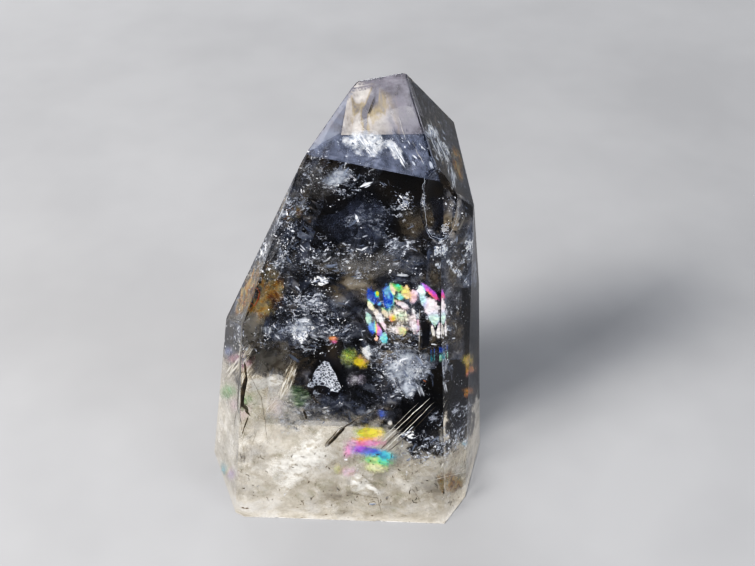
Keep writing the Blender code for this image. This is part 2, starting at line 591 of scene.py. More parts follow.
def cap_painted_reflection():
    material = new_material("cream painted reflection")
    grain = noise(material, 0.24, 5.0, 0.5, (1.8, 1.0, 0.6), warp=0.6)
    left = ramp(material, grain, [(0.34, CAP_GREY), (0.42, CAP_REFLECTED_YELLOW), (0.46, CAP_REFLECTED_CREAM), (0.60, CAP_REFLECTED_WHITE)])
    right = ramp(material, grain, [(0.30, CAP_REFLECTED_PINK), (0.62, CAP_GREY)])
    side = maths(
        material, "MULTIPLY_ADD", maths(material, "SUBTRACT", grain, 0.5), 0.8,
        known(material, "part_across")
    )
    upper = ranged(material, known(material, "part_down"), 0.30, 0.05)
    side = maths(material, "MULTIPLY_ADD", upper, 0.35, side)
    colour = mixed(material, ranged(material, side, 0.42, 0.64), left, right)
    cover = ragged(material, noise(material, 0.6, 6.0, 0.65), 0.05, 0.60, rim=0.03, most=0.92)
    return inner_shader(material, colour, cover, rough=0.45)


blue_below = bloom("blue bloom", [(0.38, CAP_BLUE), (0.60, CAP_PALE_BLUE)], 0.15, 0.62, 0.85)
pale_wedge = bloom("pale wedge bloom", [(0.36, CAP_GREY), (0.60, CAP_WEDGE)], 0.05, 0.50, 0.92)
pink_tip_reflection = bloom("pinkish painted reflection", [(0.35, CAP_REFLECTED_PINK), (0.65, CAP_GREY)], 0.10, 0.60, 0.85)
# Painted reflection: the cream and pinkish sheets under the tip.
add_sheets("cream_cap_painted_reflection", {"upper": CAP_UPPER}, cap_painted_reflection(), steps=CAP_STEPS)
add_sheets("pink_tip_painted_reflection", {"tip": CAP_TIP}, pink_tip_reflection, steps=CAP_STEPS)
add_sheets("blue_cap_bloom", {"lower": CAP_LOWER}, blue_below, steps=CAP_STEPS)
add_sheets("pale_wedge_bloom", {"left": CAP_LEFT}, pale_wedge, steps=CAP_STEPS)
cloud_stops = [(0.36, CLOUD_BLUE), (0.56, CLOUD_WHITE)]
cap_cloud = bloom("cap cloud", cloud_stops, 0.30, 0.62, 0.95, per_mm=1.1, stretch=(1.0, 1.0, 2.0), rim=0.18)
add_sheets("cap_clouds", CAP_CLOUDS, cap_cloud, rounded=True, rumple=0.0, steps=CAP_STEPS)

# The smoky mottling.
# Thin films before and behind the painted dark backing, from brownish to bluish grey, which give the dark its
# depth.
MOTTLE_DARK = (0.050, 0.053, 0.065, 1.0)
MOTTLE_BLUE = (0.105, 0.120, 0.165, 1.0)
MOTTLE_BROWN = (0.120, 0.100, 0.075, 1.0)
MOTTLE_PALE = (0.30, 0.32, 0.37, 1.0)
MOTTLE_CREAM = (0.30, 0.27, 0.22, 1.0)
MOTTLE_SHEETS = {
    "high": ((308, 152), (438, 178), (440, 270), (262, 270), 0.50),
    "middle": ((262, 262), (440, 262), (441, 370), (244, 350), 0.44),
    "low": ((285, 350), (400, 350), (402, 425), (300, 420), 0.38),
    "left slope": ((300, 160), (308, 160), (246, 322), (228, 318), 0.30),
    "right": ((443, 180), (475, 204), (479, 290), (444, 285), 0.22),
}
# The films behind the painted dark backing, each with how far back it stands and its seed
REAR_FOOT_LEFT = 17.0 * MM
REAR_FOOT_RIGHT = 6.0 * MM
REAR_MOTTLING = ((6.5 * MM, 31.0), (9.0 * MM, 32.0))


def mottling(name, per_mm, low, high, most):
    material = new_material(name)
    broad = noise(material, per_mm, 7.0, 0.62, (1.0, 1.0, 1.3), warp=0.7)
    blue = ramp(material, broad, [(0.42, MOTTLE_DARK), (0.53, MOTTLE_BLUE), (0.66, MOTTLE_PALE)])
    brown = ramp(material, broad, [(0.42, MOTTLE_DARK), (0.53, MOTTLE_BROWN), (0.68, MOTTLE_CREAM)])
    colour = mixed(material, ranged(material, noise(material, 0.09, 2.0), 0.46, 0.58), blue, brown)
    cover = ragged(
        material, noise(material, per_mm * 1.7, 7.0, 0.66, warp=0.4), low, high, rim=0.12, most=most
    )
    return inner_shader(material, colour, cover, rough=0.6, shine=0.1)


smoky = mottling("smoky mottling", 0.30, 0.24, 0.50, 0.92)
add_sheets("smoky_mottling", MOTTLE_SHEETS, smoky, rumple=0.08)
rear_mottling = [standing_sheet(back, REAR_FOOT_LEFT, REAR_FOOT_RIGHT, seed) for back, seed in REAR_MOTTLING]
add_inner("rear_mottling", joined("rear_mottling", rear_mottling), smoky)
slope_sheet = {"right slope": ((407, 73), (456, 119), (478, 206), (440, 181), 0.035)}
slope_mottling = mottling("slope mottling", 0.9, 0.40, 0.60, 0.80)
add_sheets("slope_mottling", slope_sheet, slope_mottling, rumple=0.01, steps=CAP_STEPS)

# The soft films.
# Bubbles too fine to tell apart: greyish ones below the cap and across the slope, and white ones behind
# the brightest flakes. The bluish films in the clear dark and behind the hollow are painted shade, which
# tints the clear dark the deep blue of a backdrop seen through the quartz.
# Painted shade: the dark blues of the films in the clear dark.
PAINTED_SHADE_FILM_DEEP = (0.050, 0.060, 0.092, 1.0)
PAINTED_SHADE_FILM_BLUE = (0.085, 0.100, 0.150, 1.0)
FILM_BROWN = (0.100, 0.092, 0.084, 1.0)
FILM_GREY = (0.27, 0.265, 0.26, 1.0)
FILM_PALE = (0.12, 0.14, 0.19, 1.0)
FILM_WHITE = (0.64, 0.69, 0.78, 1.0)
PAINTED_SHADE_BLUE_FILMS = {
    "dark clear zone": ((318, 178), (398, 192), (398, 252), (288, 252), 0.38),
    "behind the hollow": ((426, 190), (455, 194), (452, 236), (430, 230), 0.30),
}
GREY_FILMS = {
    "below the cap": ((296, 151), (352, 160), (334, 208), (276, 202), 0.18),
    "slope": ((264, 230), (296, 230), (288, 300), (242, 300), 0.22),
    "band": ((322, 244), (424, 250), (418, 284), (300, 278), 0.28),
    "beside the wedge": ((230, 444), (280, 438), (264, 464), (232, 468), 0.11),
}
WHITE_FILMS = {
    "cloud": ((374, 346), (438, 344), (432, 394), (384, 396), 0.20),
    "cloud foot": ((398, 378), (420, 378), (416, 402), (404, 402), 0.17),
    "under the cap": ((316, 176), (352, 160), (358, 180), (322, 194), 0.16),
    "core": ((284, 318), (318, 316), (316, 344), (282, 346), 0.22),
}
painted_shade_blue_film = bloom("painted shade blue film", [(0.38, PAINTED_SHADE_FILM_DEEP), (0.62, PAINTED_SHADE_FILM_BLUE)], 0.18, 0.72, 0.75, rim=0.40)
grey_film = bloom(
    "grey film", [(0.40, FILM_BROWN), (0.62, FILM_GREY)], 0.18, 0.70, 0.65, per_mm=0.5, rim=0.45
)
white_film = bloom(
    "white film", [(0.38, FILM_PALE), (0.60, FILM_WHITE)], 0.20, 0.66, 0.85, per_mm=0.8, rim=0.42
)
add_sheets("painted_shade_blue_films", PAINTED_SHADE_BLUE_FILMS, painted_shade_blue_film, rounded=True)
add_sheets("grey_films", GREY_FILMS, grey_film, rounded=True)
add_sheets("white_films", WHITE_FILMS, white_film, rounded=True)

# The white veils.
# Healed cracks, full of fine bubbles, which cross the dark middle as torn grey-white films of tiny shards.
VEIL_WHITE = (0.68, 0.71, 0.78, 1.0)
VEIL_MID = (0.20, 0.22, 0.27, 1.0)
VEIL_GREY = (0.03, 0.034, 0.045, 1.0)
VEIL_SHEETS = {
    "upper clouds": ((306, 150), (385, 140), (376, 205), (288, 205), 0.25),
    "left slope": ((298, 165), (345, 175), (292, 300), (240, 300), 0.24),
    "upper middle": ((330, 180), (430, 188), (430, 250), (290, 245), 0.42),
    "speckled band": ((285, 226), (440, 232), (440, 285), (258, 290), 0.30),
    "core": ((255, 275), (380, 270), (372, 360), (245, 365), 0.26),
    "core right": ((355, 275), (440, 280), (442, 400), (345, 395), 0.36),
    "cloud": ((372, 345), (440, 342), (438, 405), (360, 410), 0.25),
    "right film": ((446, 225), (475, 235), (476, 290), (446, 285), 0.20),
    "right foot": ((446, 395), (477, 395), (474, 445), (446, 470), 0.22),
    "low left": ((265, 385), (345, 385), (345, 430), (250, 440), 0.30),
    "low right": ((396, 430), (442, 432), (442, 474), (396, 472), 0.30),
    "edge high": ((298, 160), (308, 160), (246, 322), (227, 318), 0.15),
}
# The veils behind the painted dark backing, each with how far back it stands, its foot at the left and
# right, and its seed
REAR_VEILS = (
    (8.0 * MM, 19.0 * MM, 6.0 * MM, 41.0),
    (10.5 * MM, 17.0 * MM, 7.0 * MM, 42.0),
    (12.5 * MM, 16.0 * MM, 5.0 * MM, 43.0),
)


def spot(material, wobble=0.0, stretch=(1.0, 1.0, 1.0)):
    """A place in the piece's own space, pushed about a little by noise, and stretched."""
    place = add_node(material, "ShaderNodeTexCoord").outputs["Object"]
    push = add_node(material, "ShaderNodeTexNoise", {"Vector": place, "Scale": 1.2 / MM, "Detail": 3.0})
    pushed = add_node(
        material,
        "ShaderNodeVectorMath",
        {0: push.outputs["Color"], 1: (wobble * MM,) * 3, 2: place},
        operation="MULTIPLY_ADD",
    )
    return add_node(material, "ShaderNodeMapping", {"Vector": pushed.outputs[0], "Scale": stretch}).outputs[0]


def shards(material, per_mm, place):
    """Angular cells: two random values for each."""
    texture = add_node(material, "ShaderNodeTexVoronoi", {"Vector": place, "Scale": per_mm / MM})
    split = add_node(material, "ShaderNodeSeparateColor", {"Color": texture.outputs["Color"]})
    return split.outputs[0], split.outputs[1]


def torn_veil(name, stops, per_mm, low, stretch=(1.0, 1.0, 1.0), rim=0.35, haze=0.10, clumps=0.22):
    material = new_material(name)
    place = spot(material, 0.8, stretch)
    big, big_tone = shards(material, per_mm, place)
    small, small_tone = shards(material, per_mm * 2.7, place)
    fine = ranged(material, noise(material, per_mm * 1.5, 6.0, 0.7, stretch, warp=0.6), 0.32, 0.68)
    broad = ranged(material, noise(material, clumps, 3.0, 0.55), 0.32, 0.68)
    grain = maths(material, "MULTIPLY_ADD", big, 0.30, maths(material, "MULTIPLY", fine, 0.25))
    grain = maths(material, "MULTIPLY_ADD", small, 0.20, grain)
    grain = maths(material, "MULTIPLY_ADD", broad, 0.45, grain)
    tone = maths(material, "MULTIPLY_ADD", big_tone, 0.5, maths(material, "MULTIPLY", small_tone, 0.5))
    tone = maths(material, "MULTIPLY_ADD", maths(material, "SUBTRACT", grain, low), 0.8, tone)
    colour = ramp(material, tone, stops)
    film = ragged(material, broad, 0.30, 0.90, rim=0.5, most=haze)
    cover = maths(material, "MAXIMUM", ragged(material, grain, low, low + 0.06, rim=rim, most=0.95), film)
    return inner_shader(material, colour, cover, rough=0.3, shine=0.5)


veil_stops = [(0.20, VEIL_GREY), (0.55, VEIL_MID), (0.90, VEIL_WHITE)]
torn_white = torn_veil("torn white veil", veil_stops, 1.6, 0.70, (1.0, 1.0, 1.7), haze=0.14)
add_sheets("white_veils", VEIL_SHEETS, torn_white)
rear_veils = [standing_sheet(*placed) for placed in REAR_VEILS]
add_inner("rear_veils", joined("rear_veils", rear_veils), torn_white)

# The bright cracks.
# Wider gaps in the healed cracks, which send the light straight back and are almost solid white. The two
# just under the right slope are painted highlights.
CRACK_WHITE = (0.90, 0.91, 0.93, 1.0)
CRACK_BLUE = (0.30, 0.35, 0.47, 1.0)
CRACK_GREY = (0.07, 0.075, 0.095, 1.0)
CRACK_SHEETS = {
    "under the cap": ((318, 174), (352, 163), (356, 182), (324, 192), 0.22),
    "centre": ((397, 191), (411, 191), (410, 210), (399, 210), 0.28),
    # Painted highlights: white streaks just under the right slope.
    "right slope high": ((421, 119), (432, 121), (443, 144), (430, 142), 0.022),
    "right slope low": ((436, 136), (443, 137), (457, 167), (449, 166), 0.022),
    "under the hollow": ((438, 241), (449, 241), (449, 258), (439, 258), 0.10),
    "beam": ((297, 274), (338, 272), (336, 287), (301, 287), 0.22),
    "diagonal": ((436, 252), (445, 250), (474, 284), (466, 291), 0.14),
    "right edge": ((462, 233), (474, 235), (474, 264), (463, 264), 0.12),
    "blob": ((383, 352), (434, 350), (432, 384), (387, 386), 0.22),
    "blob foot": ((402, 385), (417, 385), (415, 397), (403, 397), 0.18),
    "beads": ((361, 343), (372, 341), (373, 361), (362, 361), 0.18),
    "low flakes": ((398, 430), (422, 430), (421, 440), (399, 441), 0.18),
    "low right": ((460, 434), (474, 434), (473, 449), (462, 450), 0.15),
    "left teeth": ((246, 236), (270, 232), (274, 262), (244, 266), 0.15),
    "core star": ((282, 318), (318, 314), (315, 346), (280, 350), 0.20),
}
crack_stops = [(0.10, CRACK_GREY), (0.40, CRACK_BLUE), (0.72, CRACK_WHITE)]
crack_material = torn_veil(
    "bright crack", crack_stops, 1.8, 0.52, (1.0, 1.0, 1.5), rim=0.55, haze=0.30, clumps=0.5
)
add_sheets("bright_cracks", CRACK_SHEETS, crack_material, rounded=True, rumple=0.05, steps=16)

# The wisps.
# Small streaked cracks that lie every way in the dark, from dim blue-grey to bright.
WISP_SEED = 8
WISP_DARK = (0.025, 0.030, 0.045, 1.0)
WISP_MID = (0.17, 0.20, 0.27, 1.0)
WISP_BRIGHT = (0.85, 0.88, 0.95, 1.0)
# Each cloud has its middle and half size in pixels, how deep it is and how far it spreads as shares of
# the way through, its count, and its wisps' length in pixels, turn and scatter in degrees.
WISP_CLOUDS = {
    "cap": ((406, 148), (18, 18), 0.03, 0.008, 34, 9, 62, 12),
    # Painted highlights: the bright wisps just under the right slope.
    "right slope": ((437, 146), (9, 30), 0.022, 0.004, 30, 13, 58, 12),
    "under the cap": ((342, 168), (38, 22), 0.28, 0.10, 40, 15, -25, 30),
    "dark clear zone": ((368, 215), (68, 38), 0.40, 0.10, 40, 12, 20, 60),
    "left slope": ((282, 240), (28, 62), 0.28, 0.10, 40, 10, 60, 40),
    "speckled band": ((350, 260), (92, 20), 0.32, 0.10, 60, 13, 5, 18),
    "core left": ((312, 322), (58, 40), 0.28, 0.10, 70, 10, 40, 60),
    "core right": ((398, 330), (44, 50), 0.34, 0.10, 40, 12, 60, 35),
    "cloud": ((403, 374), (34, 22), 0.26, 0.08, 60, 12, 30, 60),
    "right": ((461, 245), (12, 45), 0.26, 0.10, 30, 10, 70, 30),
    "low": ((340, 405), (80, 28), 0.32, 0.10, 40, 12, -32, 25),
    "low right": ((418, 444), (30, 18), 0.28, 0.08, 30, 11, -35, 30),
    "left": ((250, 340), (30, 26), 0.22, 0.08, 50, 13, -50, 35),
    "foot": ((340, 470), (105, 44), 0.30, 0.12, 20, 9, -25, 30),
}


def wisp_sheets(clouds, random):
    parts = []
    for centre, reach, share, depth_spread, count, length, turn, scatter in clouds.values():
        for wisp in range(count):
            radius, angle = math.sqrt(random.random()), random.uniform(0.0, math.tau)
            middle = Vector((centre[0] + reach[0] * radius * math.cos(angle),
                             centre[1] + reach[1] * radius * math.sin(angle)))
            heading = math.radians(random.gauss(turn, scatter))
            shade = random.random() ** 2
            half_long = length * math.exp(random.gauss(-0.2, 0.5)) * (1 - 0.5 * shade) / 2
            half_wide = half_long * random.uniform(0.14, 0.40)
            down_way = Vector((math.cos(heading), math.sin(heading))) * half_long
            side_way = Vector((-math.sin(heading), math.cos(heading))) * half_wide
            placed = (
                middle - down_way - side_way,
                middle - down_way + side_way,
                middle + down_way + side_way,
                middle + down_way - side_way,
                random.gauss(share, depth_spread),
            )
            parts.append(sheet(placed, rumple=0.02, rounded=True, steps=4, seed=wisp, shade=shade))
    return parts


def streaks(material, per_mm, seed_from=None):
    """Noise drawn out along a sheet, from its first edge to its last."""
    along, beside = known(material, "along"), known(material, "beside")
    sockets = {0: beside, 1: maths(material, "MULTIPLY", along, 0.12)}
    if seed_from is not None:
        sockets[2] = maths(material, "MULTIPLY", known(material, seed_from), 97.0)
    place = add_node(material, "ShaderNodeCombineXYZ", sockets).outputs[0]
    sockets = {"Vector": place, "Scale": per_mm, "Detail": 5.0, "Roughness": 0.65, "Distortion": 0.3}
    return add_node(material, "ShaderNodeTexNoise", sockets).outputs["Fac"]


def wisp_material():
    material = new_material("streaked wisp")
    streak = streaks(material, 2.2, "shade")
    tone = maths(
        material, "MULTIPLY_ADD", maths(material, "SUBTRACT", streak, 0.5), 1.2, known(material, "shade")
    )
    colour = ramp(material, tone, [(0.0, WISP_DARK), (0.35, WISP_MID), (0.85, WISP_BRIGHT)])
    cover = ragged(material, streak, 0.40, 0.54, rim=0.25, most=0.9)
    return inner_shader(material, colour, cover, rough=0.3, shine=0.5)


wisp_random = random_numbers(WISP_SEED)
add_inner("wisps", joined("wisps", wisp_sheets(WISP_CLOUDS, wisp_random)), wisp_material())

# The white sponge.
# A close cluster of tiny bubbles at the left of the middle, like a bit of crushed ice.
SPONGE_SHEETS = {"sponge": ((321, 360), (331, 362), (345, 397), (303, 393), 0.20)}
SPONGE_WHITE = (0.82, 0.86, 0.94, 1.0)
SPONGE_MID = (0.30, 0.33, 0.40, 1.0)
SPONGE_DARK = (0.03, 0.035, 0.05, 1.0)


def sponge():
    material = new_material("white sponge")
    texture = add_node(
        material,
        "ShaderNodeTexVoronoi",
        {"Vector": spot(material, 1.6), "Scale": 1.7 / MM},
        feature="DISTANCE_TO_EDGE",
    )
    colour = ramp(
        material, texture.outputs["Distance"],
        [(0.02, SPONGE_WHITE), (0.10, SPONGE_MID), (0.20, SPONGE_DARK)]
    )
    cover = ragged(material, noise(material, 0.5, 5.0), 0.20, 0.26, rim=0.22, most=0.95)
    return inner_shader(material, colour, cover, rough=0.3, shine=0.6)


add_sheets("white_sponge", SPONGE_SHEETS, sponge(), rounded=True, rumple=0.05, steps=16)

# The cream haze.
# A fine cream fog of bubbles low in the crystal, which joins its clear foot to the ground base.
HAZE_CREAM = (0.40, 0.365, 0.31, 1.0)
HAZE_WHITE = (0.60, 0.575, 0.53, 1.0)
HAZE_GREEN = (0.20, 0.195, 0.145, 1.0)
HAZE_SHEETS = {
    "left edge": ((222, 345), (243, 345), (238, 508), (212, 452), 0.30),
    "left": ((243, 372), (296, 366), (318, 440), (236, 450), 0.22),
    "middle": ((280, 402), (400, 412), (410, 470), (250, 470), 0.30),
    "foot left": ((238, 436), (345, 430), (345, 520), (236, 508), 0.20),
    "foot": ((320, 452), (442, 455), (443, 522), (320, 521), 0.20),
    "right foot": ((444, 450), (478, 440), (466, 495), (445, 522), 0.25),
}
haze_stops = [(0.38, HAZE_GREEN), (0.49, HAZE_CREAM), (0.62, HAZE_WHITE)]
cream_haze = bloom("cream haze", haze_stops, 0.30, 0.66, 0.72, per_mm=0.30, stretch=(1.0, 1.0, 1.4), rim=0.30)
add_sheets("cream_haze", HAZE_SHEETS, cream_haze, rumple=0.06)
WHITE_SHEETS = {
    "wedge": ((262, 464), (322, 429), (338, 458), (284, 494), 0.10),
    "pale sweep": ((248, 380), (282, 372), (284, 384), (248, 394), 0.14),
    "low band": ((348, 475), (360, 473), (386, 496), (351, 493), 0.10),
}
BRIGHT_HAZE = (0.80, 0.785, 0.75, 1.0)
white_stops = [(0.38, HAZE_CREAM), (0.50, BRIGHT_HAZE)]
white_haze = bloom("white haze", white_stops, 0.20, 0.62, 0.86, per_mm=0.8, stretch=(1.0, 1.0, 1.5), rim=0.28)
add_sheets("white_haze", WHITE_SHEETS, white_haze, rumple=0.02)
DIM_SHEETS = {
    "under the shoulder": ((222, 314), (264, 312), (264, 348), (219, 348), 0.08),
    "between the feathers": ((245, 342), (288, 340), (292, 372), (248, 376), 0.14),
}
DIM_BROWN = (0.045, 0.038, 0.029, 1.0)
DIM_GREY = (0.115, 0.108, 0.096, 1.0)
dim_haze = bloom("dim haze", [(0.42, DIM_BROWN), (0.58, DIM_GREY)], 0.10, 0.45, 0.90, per_mm=0.45, rim=0.30)
add_sheets("dim_haze", DIM_SHEETS, dim_haze, rumple=0.03)
GREEN_SHEETS = {
    "green pane": ((286, 382), (312, 386), (314, 412), (284, 408), 0.15),
    "green edge": ((219, 384), (238, 384), (236, 400), (218, 400), 0.15),
    "olive right": ((340, 346), (360, 344), (356, 372), (338, 368), 0.18),
}
DIM_GREEN = (0.020, 0.045, 0.026, 1.0)
MOSS_GREEN = (0.10, 0.145, 0.085, 1.0)
PALE_GREEN = (0.30, 0.34, 0.28, 1.0)
green_stops = [(0.40, DIM_GREEN), (0.50, MOSS_GREEN), (0.60, PALE_GREEN)]
green_haze = bloom("green haze", green_stops, 0.22, 0.52, 0.85, per_mm=0.9, stretch=(0.4, 1.0, 2.0), rim=0.34)
add_sheets("green_haze", GREEN_SHEETS, green_haze, rounded=True, rumple=0.03)

# The feathers.
# Long streaked cracks: at the lower left, golden where iron has crept in, and white under the cap. The
# white bundle on the right slope is a painted highlight.
FEATHER_SHEETS = {
    "gold": ((249, 337), (260, 342), (232, 384), (220, 376), 0.12),
    "white": ((289, 358), (301, 362), (287, 402), (273, 400), 0.13),
    "small": ((272, 398), (282, 400), (270, 416), (262, 414), 0.12),
    "stem": ((242, 362), (251, 362), (249, 384), (238, 384), 0.14),
}
FAN_SHEETS = {
    "cap streak one": ((346, 133), (366, 132), (384, 154), (368, 158), 0.021),
    "cap streak two": ((382, 138), (396, 139), (412, 168), (402, 170), 0.021),
    "left streak": ((258, 324), (276, 328), (275, 336), (258, 333), 0.16),
    # Painted highlight: the white bundle on the right slope.
    "slope bundle": ((419, 116), (435, 119), (456, 170), (436, 160), 0.020),
    "slope bundle foot": ((444, 158), (454, 162), (460, 196), (450, 186), 0.020),
}
FAN_GREY = (0.10, 0.11, 0.14, 1.0)
FAN_BLUE = (0.34, 0.38, 0.46, 1.0)
FAN_WHITE = (0.88, 0.89, 0.92, 1.0)
FEATHER_WHITE = (0.78, 0.76, 0.72, 1.0)
FEATHER_GOLD = (0.36, 0.29, 0.18, 1.0)
FEATHER_DARK = (0.07, 0.06, 0.045, 1.0)


def streaked(name, stops, low, high, across_per_mm, most=0.95, rim=0.35):
    material = new_material(name)
    streak = streaks(material, across_per_mm)
    colour = ramp(material, streak, stops)
    cover = ragged(material, streak, low, high, rim=rim, most=most)
    return inner_shader(material, colour, cover, rough=0.3, shine=0.6)


feather_stops = [(0.38, FEATHER_DARK), (0.48, FEATHER_GOLD), (0.60, FEATHER_WHITE)]
feather_material = streaked("streaked feather", feather_stops, 0.34, 0.60, 3.4, most=0.85, rim=0.18)
fan_stops = [(0.40, FAN_GREY), (0.48, FAN_BLUE), (0.58, FAN_WHITE)]
fan_material = streaked("white fan", fan_stops, 0.38, 0.56, 3.2, most=0.85, rim=0.20)
add_sheets("white_fans", FAN_SHEETS, fan_material, rounded=True, rumple=0.01, steps=18)
add_sheets("feathers", FEATHER_SHEETS, feather_material, rounded=True, rumple=0.03, steps=18)

# The rainbow cracks.
# Cracks so thin that they split the light into colours, as an oil film does.
# Their film swells and thins from place to place, and each colour runs into the next.
RAINBOW = [
    (0.00, (0.006, 0.020, 0.20, 1.0)),
    (0.10, (0.010, 0.10, 0.55, 1.0)),
    (0.20, (0.04, 0.55, 0.66, 1.0)),
    (0.30, (0.12, 0.62, 0.15, 1.0)),
    (0.40, (0.74, 0.62, 0.04, 1.0)),
    (0.49, (0.82, 0.28, 0.04, 1.0)),
    (0.58, (0.78, 0.10, 0.40, 1.0)),
    (0.67, (0.34, 0.10, 0.62, 1.0)),
    (0.76, (0.08, 0.18, 0.72, 1.0)),
    (0.85, (0.08, 0.62, 0.70, 1.0)),
    (0.93, (0.24, 0.70, 0.20, 1.0)),
    (1.00, (0.78, 0.74, 0.18, 1.0)),
]
# Each spot has its middle and half size in pixels, its turn in degrees, and there the place of the
# film's colour in the rainbow, how far it is washed out to white, and how much of it there is.
RAINBOW_SPOTS = {
    "left blue": ((372, 296), (5.5, 8.0), -20, 0.05, 0.00, 1.1),
    "brown eye": ((377, 294), (2.0, 2.8), 0, 0.48, 0.05, 1.5),
    "right blue": ((387.5, 298), (5.5, 11.0), -8, 0.08, 0.00, 1.2),
    "cyan foot": ((380, 304), (3.5, 2.5), 20, 0.19, 0.20, 0.9),
    "yellow slip": ((392.5, 290), (1.5, 4.5), -20, 0.42, 0.45, 1.6),
    "green shoulder": ((398, 287.5), (4.5, 3.5), 20, 0.30, 0.05, 1.3),
    "cyan shoulder": ((400, 297), (4.0, 4.0), 20, 0.20, 0.15, 1.0),
    "yellow shoulder": ((406, 293), (4.0, 6.5), -30, 0.38, 0.15, 1.2),
    "rosy shoulder": ((413.5, 296), (5.0, 5.0), 0, 0.53, 0.50, 1.0),
    "lens top": ((422, 291), (3.0, 4.5), -20, 0.88, 0.75, 1.9),
    "lens cyan side": ((424, 301), (3.0, 7.0), -22, 0.86, 0.50, 1.8),
    "lens middle": ((431, 307), (5.4, 8.0), -22, 0.56, 0.85, 2.2),
    "lens green foot": ((434, 318), (4.2, 6.5), -15, 0.93, 0.65, 2.0),
    "lens prong": ((439, 330), (1.6, 6.5), 6, 0.50, 0.90, 1.7),
    "lens left prong": ((432.5, 330), (1.3, 5.0), -8, 0.42, 0.80, 1.6),
    "violet rim": ((430.5, 292), (2.2, 9.0), -46, 0.63, 0.00, 2.0),
    "band cream": ((371, 306), (2.8, 6.0), -32, 0.42, 0.60, 1.1),
    "band white": ((378, 315), (3.0, 8.0), -32, 0.50, 0.88, 1.1),
    "band yellow": ((384.5, 312), (2.0, 6.0), -30, 0.41, 0.45, 1.0),
    "band pink": ((383, 325), (2.0, 5.0), -32, 0.56, 0.70, 1.0),
    "cyan corner": ((368.5, 318), (2.8, 5.0), -10, 0.22, 0.40, 1.1),
    "lower blue": ((372.5, 328), (3.8, 5.0), -15, 0.07, 0.00, 1.2),
    "magenta": ((379, 331), (2.8, 6.0), -20, 0.60, 0.15, 1.2),
    "teal": ((383.5, 338), (3.2, 5.5), -20, 0.86, 0.15, 1.2),
    "orange foot": ((376.5, 338.5), (1.8, 2.6), 0, 0.49, 0.35, 1.0),
    "pale middle": ((400, 315), (12.0, 8.0), 20, 0.44, 0.82, 0.85),
    "pink middle": ((402, 305), (8.0, 3.0), 35, 0.58, 0.75, 1.0),
    "orange": ((392.7, 318), (3.4, 3.6), 0, 0.47, 0.00, 1.3),
    "olive": ((402.5, 330.5), (4.0, 4.0), -30, 0.39, 0.25, 1.1),
    "white foot": ((397, 329), (9.0, 6.0), 0, 0.50, 0.85, 0.8),
    "pale right": ((413, 322), (4.0, 12.0), -8, 0.58, 0.85, 0.9),
    "violet strip": ((418.3, 325), (1.4, 6.0), 0, 0.62, 0.45, 1.2),
}
RAINBOW_SHEET = ((348, 278), (441, 278), (442, 350), (366, 350), 0.11)
BOW_SPOTS = {
    "yellow arc": ((369, 433), (12.5, 5.0), 0, 0.40, 0.00, 1.5),
    "orange arc": ((366, 439), (13.0, 2.6), 0, 0.49, 0.10, 1.0),
    "pink arc": ((366, 443), (15.0, 3.4), 0, 0.57, 0.20, 1.2),
    "pink left": ((349, 450), (5.0, 7.5), 20, 0.60, 0.35, 0.9),
    "violet arc": ((361, 449), (10.0, 4.0), 0, 0.68, 0.10, 1.2),
    "blue arc": ((370, 451.5), (11.0, 4.0), 6, 0.76, 0.05, 1.3),
    "cyan arc": ((383, 455), (10.0, 4.0), 10, 0.84, 0.05, 1.3),
    "green arc": ((378, 461), (12.0, 4.2), 6, 0.92, 0.05, 1.3),
    "lime arc": ((376, 467), (10.0, 4.0), 0, 0.98, 0.25, 0.9),
    "faint yellow": ((337, 469), (5.0, 5.0), 0, 0.40, 0.40, 0.6),
    "faint pink": ((348, 472), (7.0, 5.0), 0, 0.57, 0.50, 0.6),
}
BOW_SHEET = ((328, 418), (404, 418), (404, 486), (328, 486), 0.14)
LONE_SPOTS = {
    "gold patch": ((360, 362), (6.5, 5.0), 20, 0.41, 0.00, 1.0),
    "gold orange": ((358, 364), (3.0, 2.0), 0, 0.46, 0.10, 1.1),
    "olive patch": ((349, 356), (7.0, 6.5), 0, 0.37, 0.05, 0.55),
    "cream crescent": ((365.5, 353.5), (1.8, 5.0), -35, 0.42, 0.90, 1.3),
    "blue sliver": ((368.5, 348), (1.1, 3.2), 0, 0.20, 0.80, 1.1),
    "red spark": ((333, 338.5), (3.8, 1.9), 5, 0.48, 0.05, 1.3),
    "pink spark": ((334.5, 341.5), (2.6, 1.6), 0, 0.58, 0.10, 1.1),
    "blue dot": ((382, 414), (3.4, 3.8), 0, 0.08, 0.10, 1.1),
    "cream dot": ((390, 423), (1.8, 1.8), 0, 0.42, 0.80, 1.2),
    "lilac grey": ((357, 379), (8.0, 5.5), -20, 0.66, 0.80, 0.45),
}
LONE_SHEET = ((322, 330), (396, 330), (396, 430), (322, 430), 0.15)
EDGE_SPOTS = {
    "blue": ((442, 350), (2.0, 2.8), 0, 0.10, 0.10, 0.9),
    "teal": ((443, 357), (2.2, 3.2), 0, 0.22, 0.15, 0.9),
}
EDGE_SHEET = ((435, 342), (450, 342), (450, 364), (435, 364), 0.12)
RIGHT_SPOTS = {
    "yellow": ((468, 360), (5.5, 5.0), -10, 0.42, 0.10, 0.9),
    "orange": ((471, 369), (4.5, 3.5), -10, 0.48, 0.05, 0.9),
    "rust": ((468, 391), (6.0, 3.0), 10, 0.49, 0.00, 0.7),
    "cyan drop": ((464, 444), (2.4, 2.4), 0, 0.20, 0.60, 0.7),
}
RIGHT_SHEET = ((456, 345), (480, 345), (478, 452), (456, 452), 0.14)
